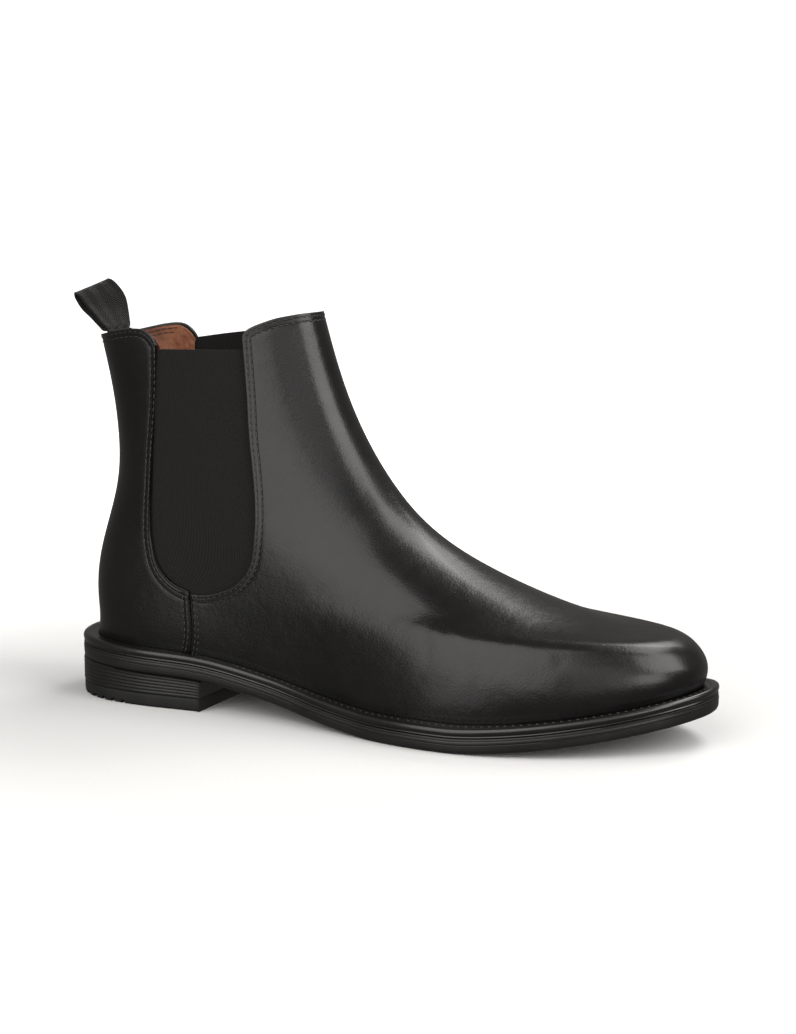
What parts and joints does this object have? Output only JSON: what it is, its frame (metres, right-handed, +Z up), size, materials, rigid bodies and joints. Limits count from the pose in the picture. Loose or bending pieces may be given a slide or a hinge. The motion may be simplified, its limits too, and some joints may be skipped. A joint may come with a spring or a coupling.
{
  "type": "chelsea boot",
  "caption": "Ankle-height pull-on boot for the right foot, smooth black leather with elastic side gores, a low stacked heel and a woven pull tab.",
  "frame": {"origin": "bottom centre of the boot's box, on the ground", "axes": "+X to the toe, +Y to the medial side, +Z up"},
  "size_m": [0.3106, 0.1078, 0.1935],
  "materials": {
    "top_piece": "matt moulded rubber",
    "heel": "satin moulded rubber",
    "outsole": "satin moulded rubber",
    "welt": "semi-gloss painted edge",
    "steel": "plain",
    "cork": "granulated cork",
    "board": "pressed fibreboard",
    "foam": "open-cell foam",
    "sock": "smooth tan",
    "vamp_leather": "polished black",
    "quarter_leather": "polished black",
    "strip_leather": "polished black",
    "elastic": "fine vertical rib",
    "vamp_lining": "smooth tan",
    "quarter_lining": "smooth tan",
    "counter": "pressed leatherboard",
    "puff": "thermoplastic sheet",
    "webbing": "herringbone weave"
  },
  "bodies": {
    "boot": {"top_piece": "top_piece", "heel_block": "heel", "outsole": "outsole", "welt": "welt", "shank": "steel", "bottom_filler": "cork", "insole_board": "board", "heel_nail_1": "steel", "heel_nail_2": "steel", "heel_nail_3": "steel", "heel_nail_4": "steel", "heel_nail_5": "steel", "footbed_foam": "foam", "sock_liner": "sock", "vamp": "vamp_leather", "quarter_lateral": "quarter_leather", "quarter_medial": "quarter_leather", "back_strip": "strip_leather", "gore_lateral": "elastic", "gore_medial": "elastic", "vamp_lining": "vamp_lining", "quarter_lining": "quarter_lining", "heel_counter": "counter", "toe_puff": "puff"},
    "tab": {"pull_tab": "webbing"}
  },
  "joints": [
    {"name": "pull_tab_swing", "type": "hinge", "parent": "boot", "child": "tab", "pos_m": [-0.13621, 0.00154, 0.17021], "axis": [0, 1, 0], "range_deg": [-35, 80], "stiffness_Nm_per_rad": 0.02}
  ]
}
